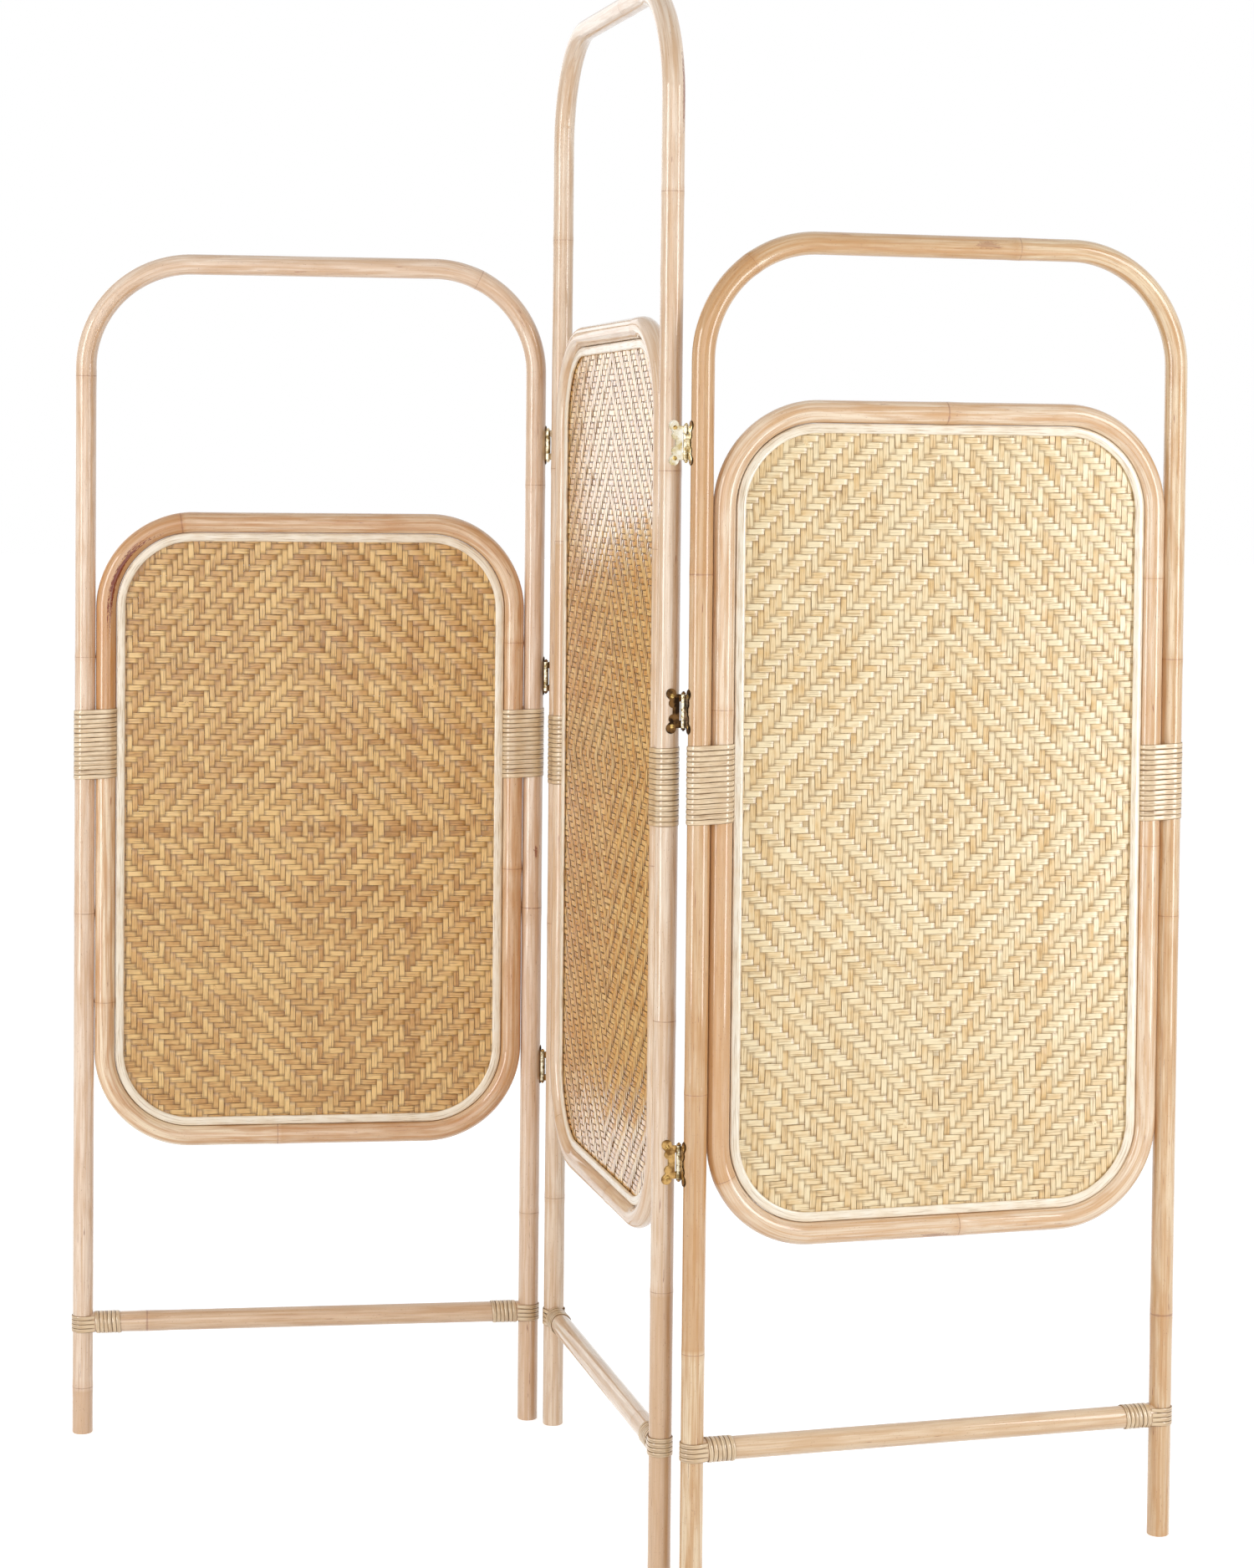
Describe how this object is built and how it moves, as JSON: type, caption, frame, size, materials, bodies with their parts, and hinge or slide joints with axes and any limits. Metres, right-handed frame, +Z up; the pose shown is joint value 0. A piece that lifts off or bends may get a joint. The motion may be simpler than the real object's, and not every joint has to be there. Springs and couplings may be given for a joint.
{
  "type": "folding screen",
  "caption": "Folding screen of three arched rattan leaves with hooped woven panels, rails near the feet and brass butt hinges.",
  "frame": {"origin": "middle of the whole screen on the floor, as it stands in a zigzag", "axes": "+Z up; +X to the right along the run of the screen; +Y away from the viewer, through the depth of the zigzag"},
  "size_m": [1.3484, 0.6346, 1.8],
  "materials": {
    "rattan_pole": "clear lacquer, semi-gloss",
    "woven_rattan": "clear lacquer, satin",
    "cane_bead": "satin",
    "rattan_peel": "clear lacquer, glossy skin side",
    "bright_brass": "bright plated",
    "dark_brass": "dark antique",
    "aged_brass": "worn, golden brown",
    "brass_screw": "satin",
    "steel_screw": "plated"
  },
  "bodies": {
    "middle_leaf": {"left_hinge_screws_in_middle_leaf": "brass_screw", "lower_left_hinge_pin": "aged_brass", "lower_left_hinge_plate_on_middle_leaf": "aged_brass", "lower_right_hinge_pin": "aged_brass", "lower_right_hinge_plate_on_middle_leaf": "aged_brass", "middle_leaf_back_bead": "cane_bead", "middle_leaf_bindings": "rattan_peel", "middle_leaf_frame_pole": "rattan_pole", "middle_leaf_front_bead": "cane_bead", "middle_leaf_hoop": "rattan_pole", "middle_leaf_joint_screws": "steel_screw", "middle_leaf_rail": "rattan_pole", "middle_leaf_rail_lashings": "rattan_peel", "middle_leaf_woven_panel": "woven_rattan", "middle_left_hinge_pin": "dark_brass", "middle_left_hinge_plate_on_middle_leaf": "dark_brass", "middle_right_hinge_pin": "dark_brass", "middle_right_hinge_plate_on_middle_leaf": "dark_brass", "right_hinge_screws_in_middle_leaf": "brass_screw", "upper_left_hinge_pin": "bright_brass", "upper_left_hinge_plate_on_middle_leaf": "bright_brass", "upper_right_hinge_pin": "bright_brass", "upper_right_hinge_plate_on_middle_leaf": "bright_brass"},
    "left_leaf": {"left_hinge_screws_in_left_leaf": "brass_screw", "left_leaf_back_bead": "cane_bead", "left_leaf_bindings": "rattan_peel", "left_leaf_frame_pole": "rattan_pole", "left_leaf_front_bead": "cane_bead", "left_leaf_hoop": "rattan_pole", "left_leaf_joint_screws": "steel_screw", "left_leaf_rail": "rattan_pole", "left_leaf_rail_lashings": "rattan_peel", "left_leaf_woven_panel": "woven_rattan", "lower_left_hinge_plate_on_left_leaf": "aged_brass", "middle_left_hinge_plate_on_left_leaf": "dark_brass", "upper_left_hinge_plate_on_left_leaf": "bright_brass"},
    "right_leaf": {"lower_right_hinge_plate_on_right_leaf": "aged_brass", "middle_right_hinge_plate_on_right_leaf": "dark_brass", "right_hinge_screws_in_right_leaf": "brass_screw", "right_leaf_back_bead": "cane_bead", "right_leaf_bindings": "rattan_peel", "right_leaf_frame_pole": "rattan_pole", "right_leaf_front_bead": "cane_bead", "right_leaf_hoop": "rattan_pole", "right_leaf_joint_screws": "steel_screw", "right_leaf_rail": "rattan_pole", "right_leaf_rail_lashings": "rattan_peel", "right_leaf_woven_panel": "woven_rattan", "upper_right_hinge_plate_on_right_leaf": "bright_brass"}
  },
  "joints": [
    {"name": "left_fold", "type": "hinge", "parent": "middle_leaf", "child": "left_leaf", "pos_m": [-0.07354, 0.28953, 0.886], "axis": [0, 0, 1], "range_deg": [-84.6, 95.4]},
    {"name": "right_fold", "type": "hinge", "parent": "middle_leaf", "child": "right_leaf", "pos_m": [0.08853, -0.29201, 0.886], "axis": [0, 0, 1], "range_deg": [-92.9, 87.1]}
  ]
}
